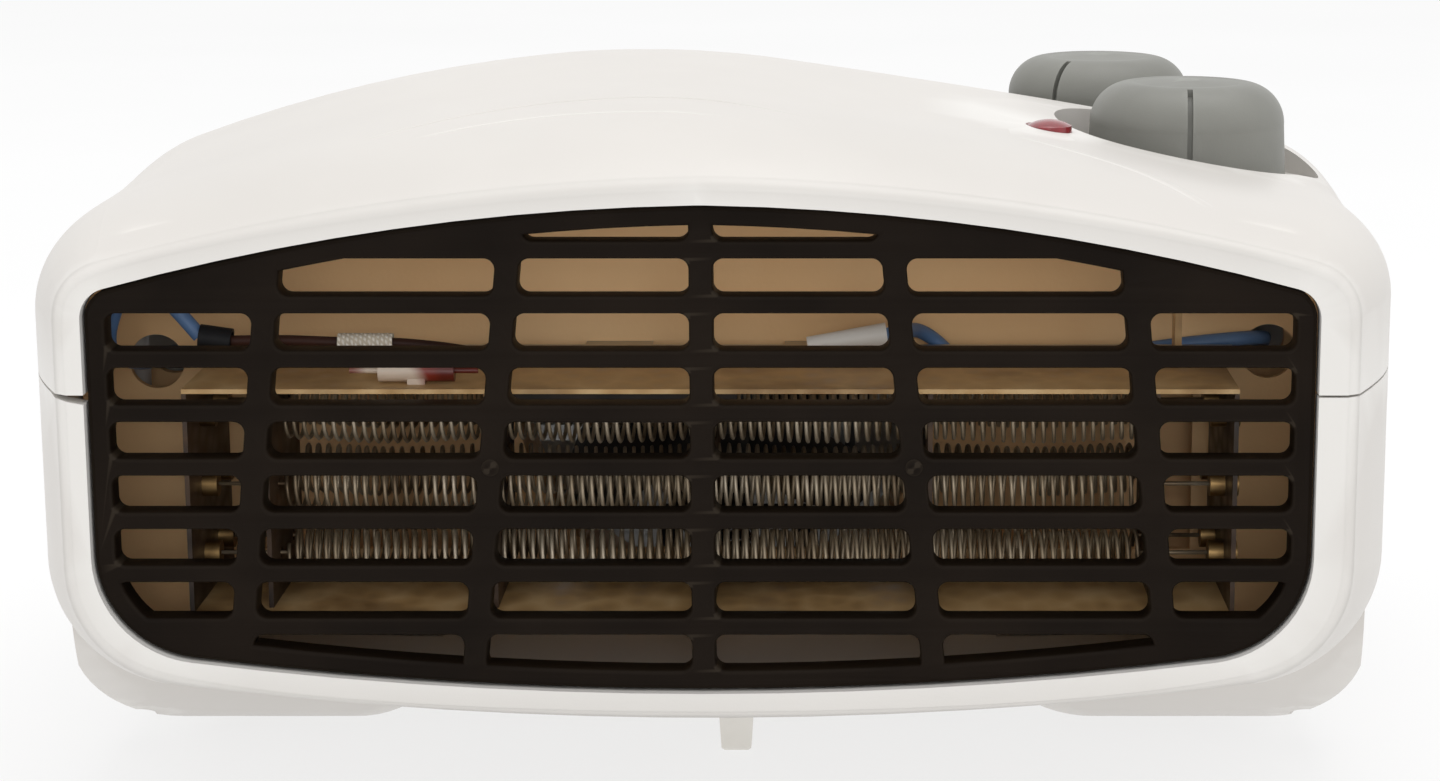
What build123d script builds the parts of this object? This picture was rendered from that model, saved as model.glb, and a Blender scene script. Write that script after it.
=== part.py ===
"""Flat portable fan heater: two casing shells, front and rear grilles, wire-coil element,
shaded-pole motor with axial fan, thermostat, selector switch and tip-over switch.

Millimetres.  +X is to the right seen from the front, +Y to the back, +Z up.
The origin is on the ground plane, under the middle of the casing.
"""
from build123d import *
import math
import os

os.makedirs("parts", exist_ok=True)

# ---------------------------------------------------------------- driving dimensions
HALF_WIDTH = 120.0
FRONT_Y = -98.0
BACK_Y = 98.0
CREST_Z = 127.8
BELLY_Z = 22.0
SPLIT_Z = 80.0
WALL = 2.5
FRONT_WALL = 4.0
RIM_CHAMFER = 1.6
SEAM_GAP = 0.4

SIDE_RADIUS = 120.0          # plan radius of the flared front corners
SIDE_CENTRE_Y = -45.0

POST_XY = ((-110.0, -37.5), (110.0, -37.5), (-92.0, 74.0), (92.0, 74.0))
POST_R = 4.5

GRILLE_X = -1.0
GRILLE_HALF = 102.0
GRILLE_FRONT_Y = -96.6
GRILLE_DEPTH = 5.6
GRILLE_CREST = 111.4
GRILLE_SHOULDER_Z = 96.4
GRILLE_LOW_CORNER_Z = 36.6
GRILLE_SAG = 3.4
GRILLE_BOTTOM_SAG = 7.7
GRILLE_FIT = 0.35
GRILLE_LIP = 1.6
ROW_PITCH = 9.18
ROW_HEIGHT = 6.2
ROW_TOP = 111.8
ROWS = 9
FRAME_SIDE = 3.4
BAR_WIDTH = 4.0
SLOT_RADIUS = 1.8

FOOT_TOP_Z = 52.0
FOOT_OUTER = 117.6
FOOT_OUTER_R = 24.0
FOOT_RIDGE_X = 84.0
FOOT_INNER_R = 40.0
FOOT_TREAD = (-15.0, 74.0)    # y where the flat tread begins and ends
FOOT_SKI = (50.0, 50.0)       # length and height of the rise in front
FOOT_HEEL = (17.0, 24.0)      # length and height of the rise behind
FOOT_SLOPE = 66.0            # degrees through which the inner flank turns
PAD_R = 7.0
PAD_HEIGHT = 3.0
PAD_PROUD = 1.0
PAD_X = 88.0
PAD_Y = (-8.0, 64.0)

POCKET_R = 25.0
POCKET_FLOOR_Z = 104.5
KNOB_R = 18.8
KNOB_TOP_Z = 124.0
KNOB_LIFT = 1.0
KNOB_GROOVE = (1.0, 1.1, 6.5)  # width, depth and reach inwards of the pointer groove
SELECTOR_XY = (87.6, -15.0)
THERMOSTAT_XY = (75.0, 37.0)
SELECTOR_POINTER = -94.0     # degrees from +X, direction in which the pointer faces
THERMOSTAT_POINTER = -123.0
SPINDLE_R = 3.0
BUSH_R = 5.0
RUN = 0.05                   # radial running clearance

LAMP_XY = (60.5, -31.0)
LAMP_R = 4.2
LAMP_TOP_Z = 118.2

ELEMENT_HALF = 89.5
ELEMENT_Y = (-85.0, -49.0)
ELEMENT_Z = (38.4, 78.4)
MICA = 0.8
COIL_R = 4.5
COIL_HALF = 75.0
COIL_ROWS = (46.8, 59.2, 71.6)
COIL_LAYERS = (-73.0, -60.5)
COMB_X = (-76.4, -37.5, 0.0, 37.5, 76.4)

BAFFLE_Y = (-45.5, -44.0)
SHROUD_Y = -31.0
SHROUD_T = 2.0
DUCT_DEPTH = 20.0
AXIS_Z = 66.0
FAN_R = 36.0
FAN_Y = (-26.0, -11.0)
DUCT_R = 38.5
SHAFT_R = 2.0
SHAFT_END_Y = 31.0

STRAP_Y = -6.0
CORE_Y = (2.0, 17.0)
CORE_X = 25.0
CORE_LOW = AXIS_Z - 19.0
CORE_HIGH = AXIS_Z + 41.0
ROTOR_R = 11.0
AIR_GAP = 0.4
REAR_BRACKET_Y = 22.0
MOTOR_SCREWS = [(x, AXIS_Z + z) for x in (-19.0, 19.0) for z in (-13.0, 13.0)]

PLUNGER_XY = (2.5, -38.5)
PLUNGER_HALF = 3.6
PLUNGER_TRAVEL = 6.0
FLOOR_Z = BELLY_Z + WALL + 1.4
FLANGE_Z = FLOOR_Z + PLUNGER_TRAVEL + 0.4
HOUSING_TOP = 46.0

LEAD_R = 1.3
FUSE_LEAD_R = 0.9
LAMP_LEAD_R = 0.8
LEAD_HOLES = ((-102.5, 75.6), (100.0, 77.5))
LEADS = {
    "lead_left": (LEAD_R, (
        (-47.0, 57.9, 31.1), (-47.0, 44.0, 31.4), (-66.0, 26.0, 38.0), (-92.0, 8.0, 54.0),
        (-101.0, -12.0, 70.0), (-102.0, -32.0, 75.4), (-103.5, -52.0, 76.0), (-107.0, -69.0, 82.0),
        (-100.5, -72.5, 97.0), (-93.8, -72.0, 91.0), (-89.0, -72.0, 85.2))),
    "lead_fuse": (FUSE_LEAD_R, (
        (-83.5, -72.0, 84.4), (-74.0, -72.4, 84.6), (-65.0, -72.0, 84.1), (-55.5, -72.0, 84.1),
        (-46.0, -70.0, 82.8), (-38.0, -67.0, 80.6))),
    "lead_right": (LEAD_R, (
        (96.1, -11.9, 77.5), (96.4, -13.0, 70.0), (100.0, -24.0, 72.0), (100.5, -36.0, 78.0),
        (99.0, -46.6, 80.4), (88.0, -47.2, 79.6), (76.0, -47.1, 78.0), (62.0, -47.2, 75.4),
        (44.0, -47.1, 75.4), (37.0, -47.0, 82.0), (30.6, -60.0, 83.2))),
    "lead_lamp": (LAMP_LEAD_R, (
        (59.5, -31.0, 97.6), (59.5, -31.6, 92.0), (64.0, -24.0, 88.0), (72.0, -20.0, 84.0),
        (77.8, -17.5, 80.0))),
}

REAR_GRILLE_HALF = 52.0
REAR_GRILLE_Z = (36.0, 92.0)
CORD_XZ = (78.0, 44.0)
CORD_BORE_R = 3.7


# ---------------------------------------------------------------- small helpers
def box(x, y, z):
    """Solid box from three (low, high) pairs."""
    return Pos((x[0] + x[1]) / 2, (y[0] + y[1]) / 2, (z[0] + z[1]) / 2) * Box(
        x[1] - x[0], y[1] - y[0], z[1] - z[0]
    )


def cyl_z(x, y, z, r):
    """Upright cylinder from z[0] to z[1]."""
    return Pos(x, y, (z[0] + z[1]) / 2) * Cylinder(r, z[1] - z[0])


def cyl_y(x, z, y, r):
    """Cylinder along Y from y[0] to y[1]."""
    return Pos(x, (y[0] + y[1]) / 2, z) * Rot(90, 0, 0) * Cylinder(r, y[1] - y[0])


def cyl_x(y, z, x, r):
    """Cylinder along X from x[0] to x[1]."""
    return Pos((x[0] + x[1]) / 2, y, z) * Rot(0, 90, 0) * Cylinder(r, x[1] - x[0])


def front_plane(y):
    """Plane facing the back at depth y, whose local axes are X and Z."""
    return Plane(origin=(0, y, 0), x_dir=(1, 0, 0), z_dir=(0, -1, 0))


def sagged(a, b, sag):
    """Arc from a to b whose middle stands sag to the left of the chord."""
    mid = ((a[0] + b[0]) / 2, (a[1] + b[1]) / 2)
    length = math.dist(a, b)
    normal = (-(b[1] - a[1]) / length, (b[0] - a[0]) / length)
    return ThreePointArc(a, (mid[0] + normal[0] * sag, mid[1] + normal[1] * sag), b)


def outline(half, crest, crest_x, left_z, right_z, left_sag, right_sag, low_z, low_sag, radii):
    """Closed front view: domed top, upright sides, sagging bottom, all corners rounded."""
    low_left = (-half, low_z)
    top_left = (-half, left_z)
    peak = (crest_x, crest)
    top_right = (half, right_z)
    low_right = (half, low_z)
    edges = [
        Line(low_left, top_left),
        sagged(top_left, peak, left_sag),
        sagged(peak, top_right, right_sag),
        Line(top_right, low_right),
        sagged(low_right, low_left, low_sag),
    ]
    face = make_face(Curve() + edges)
    shoulder_left, peak_r, shoulder_right, low_r = radii
    for point, radius in (
        (low_left, low_r),
        (top_left, shoulder_left),
        (peak, peak_r),
        (top_right, shoulder_right),
        (low_right, low_r),
    ):
        corner = face.vertices().sort_by_distance((point[0], point[1], 0))[0]
        face = fillet(corner, radius)
    return face


def side_half(y):
    """Half width of the flared front corners at depth y."""
    return math.sqrt(SIDE_RADIUS**2 - (y - SIDE_CENTRE_Y) ** 2)


# ---------------------------------------------------------------- casing
# y, half width, crest z, crest x, left z, right z, left sag, right sag, low z, low sag,
# (left shoulder, crest, right shoulder, low corner radius)
STATIONS = (
    (FRONT_Y, side_half(FRONT_Y), 115.6, 0.0, 99.6, 99.6, 3.5, 3.5, 33.0, 9.0, (9, 60, 9, 20)),
    (-91.0, side_half(-91.0), 119.2, -0.5, 101.4, 101.9, 3.9, 3.2, 30.5, 7.0, (13, 80, 12, 20)),
    (-62.0, side_half(-62.0), 124.6, -2.0, 102.9, 104.9, 5.2, 1.9, 26.5, 3.5, (20, 120, 17, 20)),
    (-15.0, HALF_WIDTH, CREST_Z, -5.0, 103.3, 106.5, 6.1, 0.8, BELLY_Z, 0.5, (24, 180, 19, 20)),
    (40.0, 118.5, 123.2, -5.0, 99.6, 102.6, 5.8, 0.8, BELLY_Z, 0.5, (24, 180, 19, 20)),
    (80.0, 112.5, 113.5, -3.0, 93.0, 95.0, 4.6, 2.0, 23.5, 1.5, (20, 120, 18, 20)),
    (93.0, 108.6, 108.0, -1.5, 91.0, 92.0, 4.0, 3.0, 25.5, 2.0, (18, 100, 17, 20)),
    (BACK_Y, 104.0, 103.0, 0.0, 88.0, 88.0, 3.6, 3.6, 29.0, 3.0, (16, 80, 16, 18)),
)


def casing_block(inset, front=FRONT_Y, back=BACK_Y):
    """The whole casing as one solid, pulled in by inset on every side but the two ends."""
    faces = []
    for y, half, crest, crest_x, left_z, right_z, ls, rs, low_z, low_sag, radii in STATIONS:
        rounds = tuple(max(r - inset, 3.0) for r in radii)
        section = outline(
            half - inset, crest - inset, crest_x, left_z - inset, right_z - inset,
            ls, rs, low_z + inset, low_sag, rounds,
        )
        faces.append(front_plane(y) * section)
    solid = loft(faces)
    return solid & box((-200, 200), (front, back), (-50, 200))


def plan_outline(inset):
    """The casing seen from above, through the stations' half widths."""
    right = [(half - inset, y) for y, half, *_ in STATIONS]
    left = [(-x, y) for x, y in reversed(right)]
    back_edge = Line(right[-1], left[0])
    front_edge = Line(left[-1], right[0])
    return make_face(Curve() + [Spline(*right), back_edge, Spline(*left), front_edge])


def foot_lobe(side, inset=0.0):
    """One runner under the casing: rounded across, ski-shaped at the front, round at the heel."""
    outer = FOOT_OUTER - inset
    low = PAD_PROUD if inset == 0 else PAD_HEIGHT + WALL
    inner_r = FOOT_INNER_R - inset
    ridge_x = FOOT_RIDGE_X
    rise = FOOT_TOP_Z - low - inset

    def flank(angle):
        """Point on the inner flank, whose arc rises from the tread by angle."""
        turn = math.radians(angle)
        return (ridge_x - inner_r * math.sin(turn), low + inner_r * (1 - math.cos(turn)))

    inner_top = flank(FOOT_SLOPE)
    section = make_face(
        Curve() + [
            ThreePointArc(inner_top, flank(FOOT_SLOPE / 2), (ridge_x, low)),
            Line((ridge_x, low), (outer, low)),
            Line((outer, low), (outer, low + rise)),
            Line((outer, low + rise), (inner_top[0], low + rise)),
            Line((inner_top[0], low + rise), inner_top),
        ]
    )
    corner = section.vertices().sort_by_distance((outer, low, 0))[0]
    section = fillet(corner, FOOT_OUTER_R - inset)
    runner = extrude(front_plane(BACK_Y) * section, BACK_Y - FRONT_Y)
    # the side view: a quarter round in front, a flat tread, a smaller round behind
    front, back = FOOT_TREAD
    ski = (FOOT_SKI[0] - inset, FOOT_SKI[1] - inset)
    heel = (FOOT_HEEL[0] - inset, FOOT_HEEL[1] - inset)
    top = FOOT_TOP_Z + 10
    side_view = make_face(
        Curve() + [
            EllipticalCenterArc((front, low + ski[1]), ski[0], ski[1], start_angle=180, arc_size=90),
            Line((front, low), (back, low)),
            EllipticalCenterArc((back, low + heel[1]), heel[0], heel[1], start_angle=270, arc_size=90),
            Line((back + heel[0], low + heel[1]), (back + heel[0], top)),
            Line((back + heel[0], top), (front - ski[0], top)),
            Line((front - ski[0], top), (front - ski[0], low + ski[1])),
        ]
    )
    side_plane = Plane(origin=(30, 0, 0), x_dir=(0, 1, 0), z_dir=(1, 0, 0))
    lobe = runner & extrude(side_plane * side_view, outer)
    lobe = lobe & extrude(plan_outline(2.4 + inset), FOOT_TOP_Z)
    return lobe if side > 0 else mirror(lobe, Plane.YZ)


def grille_outline(extra):
    """The grille's front view, grown by extra all round."""
    return outline(
        GRILLE_HALF + extra, GRILLE_CREST + extra, 0.0, GRILLE_SHOULDER_Z + extra,
        GRILLE_SHOULDER_Z + extra, GRILLE_SAG, GRILLE_SAG, GRILLE_LOW_CORNER_Z - extra,
        GRILLE_BOTTOM_SAG, (5.0 + extra, 60.0, 5.0 + extra, 18.0 + extra),
    )


def front_slab(face, y, depth):
    """Extrude a front-view face from depth y towards the back."""
    return extrude(front_plane(y + depth) * face, depth)


def rear_outline(extra):
    """The rear grille's outline."""
    low, high = REAR_GRILLE_Z
    size = (2 * (REAR_GRILLE_HALF + extra), high - low + 2 * extra)
    return Pos(0, (low + high) / 2) * RectangleRounded(size[0], size[1], 8 + extra)


def pocket_cups(block):
    """Round cups that hang the knob pockets' floors under the sloping panel."""
    cups = None
    for x, y in (SELECTOR_XY, THERMOSTAT_XY):
        cup = cyl_z(x, y, (POCKET_FLOOR_Z - WALL, 140), POCKET_R + WALL)
        cups = cup if cups is None else cups + cup
    return cups & block


def screw_posts(z_low, z_high, r):
    """The four pillars in which the casing screws run."""
    return [cyl_z(x, y, (z_low, z_high), r) for x, y in POST_XY]


def casing_shells():
    """Upper and lower shell, split at the seam."""
    block = casing_block(0.0)
    rim = block.faces().sort_by(Axis.Y)[0].edges()
    block = chamfer(rim, RIM_CHAMFER)
    cavity = casing_block(WALL, FRONT_Y + FRONT_WALL, BACK_Y - WALL)
    lobes = [foot_lobe(side) for side in (1, -1)]
    hollows = [foot_lobe(side, WALL) for side in (1, -1)]
    shell = block + lobes[0] + lobes[1] - cavity - hollows[0] - hollows[1]
    opening = front_slab(grille_outline(GRILLE_FIT), FRONT_Y - 5, 5 + FRONT_WALL + 1)
    opening = Pos(GRILLE_X, 0, 0) * opening
    inlet = front_slab(rear_outline(GRILLE_FIT), BACK_Y - WALL - 3, 20)
    shell = shell - opening - inlet

    upper = shell & box((-200, 200), (-150, 150), (SPLIT_Z, 200))
    upper = upper + pocket_cups(block)
    for x, y in (SELECTOR_XY, THERMOSTAT_XY):
        upper -= cyl_z(x, y, (POCKET_FLOOR_Z, 160), POCKET_R)
        upper -= cyl_z(x, y, (90, 120), BUSH_R + 0.2)
    upper -= cyl_z(*LAMP_XY, (100, 140), LAMP_R + 0.1)
    for post in screw_posts(SPLIT_Z, 118, POST_R):
        upper += post & cavity
    for x, y in POST_XY:
        upper -= cyl_z(x, y, (SPLIT_Z - 1, SPLIT_Z + 13), 1.4)

    lower = shell & box((-200, 200), (-150, 150), (-10, SPLIT_Z - SEAM_GAP))
    for post in screw_posts(0, SPLIT_Z - SEAM_GAP, POST_R):
        lower += post & (cavity + lobes[0] + lobes[1])
    for x, y in POST_XY:
        lower -= cyl_z(x, y, (-5, SPLIT_Z - 6), 2.9)
        lower -= cyl_z(x, y, (0, SPLIT_Z + 1), 1.7)
    for x in (-PAD_X, PAD_X):
        for y in PAD_Y:
            lower -= cyl_z(x, y, (-1, PAD_HEIGHT), PAD_R + 0.1)
    x, y = PLUNGER_XY
    side = 2 * (PLUNGER_HALF + 0.35)
    lower -= Pos(x, y, BELLY_Z) * Box(side, side, 20)
    lower -= cyl_y(*CORD_XZ, (BACK_Y - 14, BACK_Y + 5), 6.0)
    lower -= seam_relief()
    return upper, lower


def seam_relief():
    """Thin wedge by which the seam gapes at the left of the front opening."""
    z = SPLIT_Z - SEAM_GAP
    corners = ((-110.0, z), (-101.0, z), (-101.0, z - 1.5), (-103.5, z - 1.2))
    wedge = make_face(Polyline(*corners, corners[0]))
    return front_slab(wedge, FRONT_Y - 1, 6)


# ---------------------------------------------------------------- grilles
def bar_x(index, z):
    """X of an upright bar at height z, from the grille's middle: the bars fan out downwards."""
    side = -1 if index < 0 else 1
    if index == 0:
        return 0.0
    if abs(index) == 1:
        return side * (32.2 + (99.0 - z) * 0.1)
    if abs(index) == 2:
        return side * (72.6 + (90.0 - z) * 0.1)
    return side * (GRILLE_HALF - FRAME_SIDE + BAR_WIDTH / 2)


def slot(row, column):
    """One opening between bars column and column + 1."""
    top = ROW_TOP - row * ROW_PITCH
    if row == 0:
        top += 2.0
    low = ROW_TOP - row * ROW_PITCH - ROW_HEIGHT
    points = []
    for index, z in ((column, low), (column, top), (column + 1, top), (column + 1, low)):
        inward = BAR_WIDTH / 2 if index == column else -BAR_WIDTH / 2
        points.append((bar_x(index, z) + inward, z))
    face = make_face(Polyline(*points, points[0]))
    return fillet(face.vertices(), SLOT_RADIUS)


def row_columns(row):
    """Upright bars that bound the openings of a row."""
    if row == 0:
        return range(-1, 1)
    if row in (1, ROWS - 1):
        return range(-2, 2)
    return range(-3, 3)


def front_grille():
    grille = front_slab(grille_outline(0.0), GRILLE_FRONT_Y, GRILLE_DEPTH)
    lip_y = FRONT_Y + FRONT_WALL
    back_y = GRILLE_FRONT_Y + GRILLE_DEPTH
    grille += front_slab(grille_outline(GRILLE_LIP), lip_y, back_y - lip_y)
    field = grille_outline(-3.2)
    for row in range(ROWS):
        for column in row_columns(row):
            opening = slot(row, column) & field
            for face in opening.faces():
                grille -= front_slab(face, GRILLE_FRONT_Y - 2, GRILLE_DEPTH + 4)
    z = ROW_TOP - 4 * ROW_PITCH - ROW_HEIGHT - (ROW_PITCH - ROW_HEIGHT) / 2
    for index in (-1, 1):
        grille += cyl_y(bar_x(index, z), z, (GRILLE_FRONT_Y - 0.5, GRILLE_FRONT_Y + 1), 1.5)
    return Pos(GRILLE_X, 0, 0) * grille


def rear_grille():
    """Louvred inlet cover, held in the shells' rear opening by a lip inside."""
    outer_y = BACK_Y - 0.6
    wall_y = BACK_Y - WALL
    grille = front_slab(rear_outline(0.0), wall_y - 1.5, outer_y - wall_y + 1.5)
    grille += front_slab(rear_outline(2.0), wall_y - 1.5, 1.5)
    slot_height = 4.0
    pitch = 7.0
    rows = 7
    for row in range(rows):
        z = REAR_GRILLE_Z[0] + pitch * (row + 1)
        for x in (-34.0, 0.0, 34.0):
            grille -= Pos(x, BACK_Y, z) * Rot(90, 0, 0) * extrude(
                SlotOverall(30.0, slot_height), 10, both=True
            )
    return grille


# ---------------------------------------------------------------- controls
def knob_form(inset):
    """Turned outer form of a knob: drafted side, rolled shoulder and slightly domed top."""
    low = POCKET_FLOOR_Z + KNOB_LIFT
    r = KNOB_R - inset
    top = KNOB_TOP_Z - inset
    side_top = (r - 0.5, top - 8.5)
    shoulder = (r - 9, top - 0.6)
    profile = make_face(
        Curve() + [
            Line((0, low), (r, low)),
            Line((r, low), side_top),
            ThreePointArc(side_top, (r - 2.9, top - 2.6), shoulder),
            Line(shoulder, (0, top)),
            Line((0, top), (0, low)),
        ]
    )
    return revolve(Plane.XZ * profile, Axis.Z)


def knob(xy, pointer):
    """Round knob with a pointer groove that runs over its shoulder and down its side."""
    low = POCKET_FLOOR_Z + KNOB_LIFT
    width, depth, reach = KNOB_GROOVE
    groove = box((KNOB_R - reach, KNOB_R + 1), (-width / 2, width / 2), (low - 1, KNOB_TOP_Z + 1))
    body = knob_form(0.0) - (groove - knob_form(depth))
    body -= cyl_z(0, 0, (low - 1, low + 7), 12.0)
    body += cyl_z(0, 0, (low + 3, low + 8), 5.5)
    body -= spindle_end(low, KNOB_TOP_Z - 4.0, SPINDLE_R + 0.02)
    return Pos(xy[0], xy[1], 0) * Rot(0, 0, pointer) * body


def spindle_end(z_low, z_high, r):
    """D-shaped shaft end, its flat facing away from the pointer."""
    return cyl_z(0, 0, (z_low, z_high), r) - box((-2 * r, -r * 0.6), (-r, r), (z_low - 1, z_high + 1))


def spindle(xy, pointer, low):
    shaft_top = KNOB_TOP_Z - 4.0
    flat_z = POCKET_FLOOR_Z + 4.0
    shaft = cyl_z(0, 0, (low, flat_z), SPINDLE_R) + spindle_end(flat_z, shaft_top, SPINDLE_R)
    return Pos(xy[0], xy[1], 0) * Rot(0, 0, pointer) * shaft


def bush_nut(xy):
    """Hexagon nut on the control's threaded bush, inside the hollow knob."""
    nut = extrude(RegularPolygon(7.5, 6), 2.4) - Pos(0, 0, 1) * Cylinder(BUSH_R + 0.02, 10)
    return Pos(xy[0], xy[1], POCKET_FLOOR_Z) * nut


def control_bush(xy):
    """Threaded bush that clamps a control to the pocket floor."""
    x, y = xy
    top = POCKET_FLOOR_Z + 3.4
    return cyl_z(x, y, (POCKET_FLOOR_Z - WALL - 1, top), BUSH_R)


def selector_body():
    """Round rotary switch with four blade tags underneath."""
    x, y = SELECTOR_XY
    top = POCKET_FLOOR_Z - WALL
    body = cyl_z(x, y, (top - 16, top), 13.0) + control_bush(SELECTOR_XY)
    for angle in (20, 110, 200, 290):
        tag = Pos(9 * math.cos(math.radians(angle)), 9 * math.sin(math.radians(angle)), 0)
        body += Pos(x, y, top - 20) * tag * Box(0.8, 4.0, 8.1)
    return body - cyl_z(x, y, (top - 10, 130), SPINDLE_R + RUN)


def thermostat_body():
    """Ceramic-bodied bimetal thermostat on a steel frame."""
    x, y = THERMOSTAT_XY
    top = POCKET_FLOOR_Z - WALL
    body = box((x - 11, x + 11), (y - 9, y + 9), (top - 1.5, top)) + control_bush(THERMOSTAT_XY)
    body += box((x - 7, x + 7), (y - 7, y + 7), (top - 14, top - 1.5))
    return body - cyl_z(x, y, (top - 10, 130), SPINDLE_R + RUN)


def bimetal_blade():
    """The thermostat's two-metal leaf, reaching back under its body."""
    x, y = THERMOSTAT_XY
    z = POCKET_FLOOR_Z - WALL - 14
    blade = box((x - 4, x + 4), (y - 6, y + 26), (z - 0.8, z))
    return blade + box((x - 4, x + 4), (y + 22, y + 26), (z - 3.0, z - 0.8))


def lamp_lens():
    """Red dome with a collar that seats on the panel."""
    x, y = LAMP_XY
    dome = Pos(x, y, LAMP_TOP_Z - 8.2) * Sphere(8.2)
    barrel = cyl_z(x, y, (LAMP_TOP_Z - 9, LAMP_TOP_Z + 1), LAMP_R)
    lens = barrel & (dome + cyl_z(x, y, (LAMP_TOP_Z - 9, LAMP_TOP_Z - 3), LAMP_R))
    return lens - cyl_z(x, y, (LAMP_TOP_Z - 10, LAMP_TOP_Z - 2), 3.0)


def neon_lamp():
    """Glass neon bulb standing in the lens."""
    x, y = LAMP_XY
    top = LAMP_TOP_Z - 2.6
    bulb = cyl_z(x, y, (top - 12, top - 2), 2.4) + (Pos(x, y, top - 2) * Sphere(2.0))
    leads = cyl_z(x - 1, y, (top - 18, top - 12), 0.4) + cyl_z(x + 1, y, (top - 18, top - 12), 0.4)
    return bulb + leads


# ---------------------------------------------------------------- heating element
def mica_end(side):
    x = side * ELEMENT_HALF
    return box((x - MICA / 2, x + MICA / 2), ELEMENT_Y, (ELEMENT_Z[0] + MICA, ELEMENT_Z[1] - MICA))


def mica_sheet(z_low):
    """Top or bottom sheet of the element."""
    half = ELEMENT_HALF + MICA / 2
    return box((-half, half), ELEMENT_Y, (z_low, z_low + MICA))


def mica_combs():
    """Upright strips that carry the coils."""
    combs = []
    for x in COMB_X:
        strip = box((x - MICA / 2, x + MICA / 2), (ELEMENT_Y[0] + 3, ELEMENT_Y[1] - 2),
                    (ELEMENT_Z[0] + MICA, ELEMENT_Z[1] - MICA))
        for y in COIL_LAYERS:
            for z in COIL_ROWS:
                hole_r = COIL_R + 0.25 if abs(x) < COIL_HALF else 1.0
                strip -= cyl_x(y, z, (x - 2, x + 2), hole_r)
        combs.append(strip)
    return Compound(children=combs)


def heating_coils(layer):
    """Three resistance coils of one layer, as sleeves of the coil's size with straight tails."""
    y = COIL_LAYERS[layer]
    coils = []
    for z in COIL_ROWS:
        coil = cyl_x(y, z, (-COIL_HALF, COIL_HALF), COIL_R)
        coil += cyl_x(y, z, (-ELEMENT_HALF + 3, ELEMENT_HALF - 3), 0.8)
        coil -= cyl_x(y, z, (-COIL_HALF + 1, COIL_HALF - 1), COIL_R - 0.9)
        coil += cyl_x(y, z, (-COIL_HALF + 1, COIL_HALF - 1), 0.8)
        coils.append(coil)
    return Compound(children=coils)


def terminal_rivets():
    """Brass eyelets on the end plates, where the coil tails are clamped."""
    rivets = []
    for side in (-1, 1):
        for y in COIL_LAYERS:
            for z in COIL_ROWS:
                inner = sorted((side * (ELEMENT_HALF - 3), side * (ELEMENT_HALF - MICA / 2)))
                head = cyl_x(y, z, inner, 2.2)
                outer = sorted((side * (ELEMENT_HALF + MICA / 2), side * (ELEMENT_HALF + 2)))
                tail = cyl_x(y, z, outer, 2.2)
                rivets += [head, tail]
    return Compound(children=rivets)


def element_brackets():
    """Four steel tabs that tie the rails of the mica box to the baffle."""
    tabs = []
    for z in (ELEMENT_Z[0] - 1.0, ELEMENT_Z[1]):
        for x in (-24.0, 12.0):
            tabs.append(box((x, x + 12.0), (ELEMENT_Y[1], BAFFLE_Y[0]), (z, z + 1.0)))
    return Compound(children=tabs)


def element_rails():
    """Folded steel rails along the mica box's back edges."""
    rails = []
    half = ELEMENT_HALF + 3.4
    for z in (ELEMENT_Z[0] - 1.0, ELEMENT_Z[1]):
        rails.append(box((-half, half), (ELEMENT_Y[1] - 6, ELEMENT_Y[1]), (z, z + 1.0)))
    return Compound(children=rails)


def thermal_cutout():
    """Black self-resetting cut-out clipped under the front edge of the element's top sheet."""
    z = ELEMENT_Z[1] - MICA
    body = box((-37, 4.5), (-84.8, -82.4), (z - 1.6, z))
    return body + box((-30, -2), (-84.8, -82.4), (z - 5, z - 1.6))


def thermal_fuse():
    """One-shot thermal fuse in its clip on the element's top sheet."""
    z = ELEMENT_Z[1] + 2.2
    fuse = cyl_x(-79.5, z, (-57, -44), 1.9)
    fuse += cyl_x(-79.5, z, (-62, -40), 0.5)
    return fuse + box((-52, -49), (-81, -78), (ELEMENT_Z[1], z - 1))


def lead_guide():
    """Upright mica tab on the top sheet that keeps the right lead off the coils."""
    return box((81.3, 82.5), (-61.0, -56.0), (ELEMENT_Z[1], ELEMENT_Z[1] + 13))


def tube_along(start, end, r, bore):
    """Straight sleeve between two points."""
    axis = Vector(*end) - Vector(*start)
    ring = Circle(r) - Circle(bore)
    return extrude(Plane(origin=start, z_dir=axis) * ring, axis.length)


def lead_sleeve():
    """Black heat-proof sleeve where the left lead is spliced to the fuse's lead."""
    return tube_along((-89.0, -72.0, 85.2), (-83.5, -72.0, 84.4), 2.1, LEAD_R + 0.3)


def glass_sleeve():
    """White glass-fibre sleeve round the lead to the fuse."""
    return tube_along((-65.0, -72.0, 84.1), (-55.5, -72.0, 84.1), 1.6, FUSE_LEAD_R + 0.3)


def splice_cap():
    """Closed-end crimp cap that joins the right lead to the element."""
    axis = Vector(-14.0, -1.0, -1.6)
    place = Plane(origin=(30.2, -60.0, 83.2), z_dir=axis)
    return place * Pos(0, 0, axis.length / 2) * Cone(2.2, 1.4, axis.length)


# ---------------------------------------------------------------- shroud, fan and motor
def fan_shroud():
    """Upright partition behind the element, with the duct in which the fan turns."""
    inside = casing_block(WALL + 0.7, SHROUD_Y, SHROUD_Y + SHROUD_T)
    plate = inside & box((-200, 200), (SHROUD_Y, SHROUD_Y + SHROUD_T), (-10, 200))
    back = SHROUD_Y + DUCT_DEPTH
    plate += cyl_y(0, AXIS_Z, (SHROUD_Y, back), DUCT_R + 1.6)
    for x in (-52.0, 52.0):
        plate += cyl_y(x, AXIS_Z, (SHROUD_Y + 1, STRAP_Y), 4.0)
        plate -= cyl_y(x, AXIS_Z, (STRAP_Y - 12, STRAP_Y + 1), 1.3)
    plate -= cyl_y(0, AXIS_Z, (SHROUD_Y - 1, back + 1), DUCT_R)
    return plate - control_room()


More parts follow.
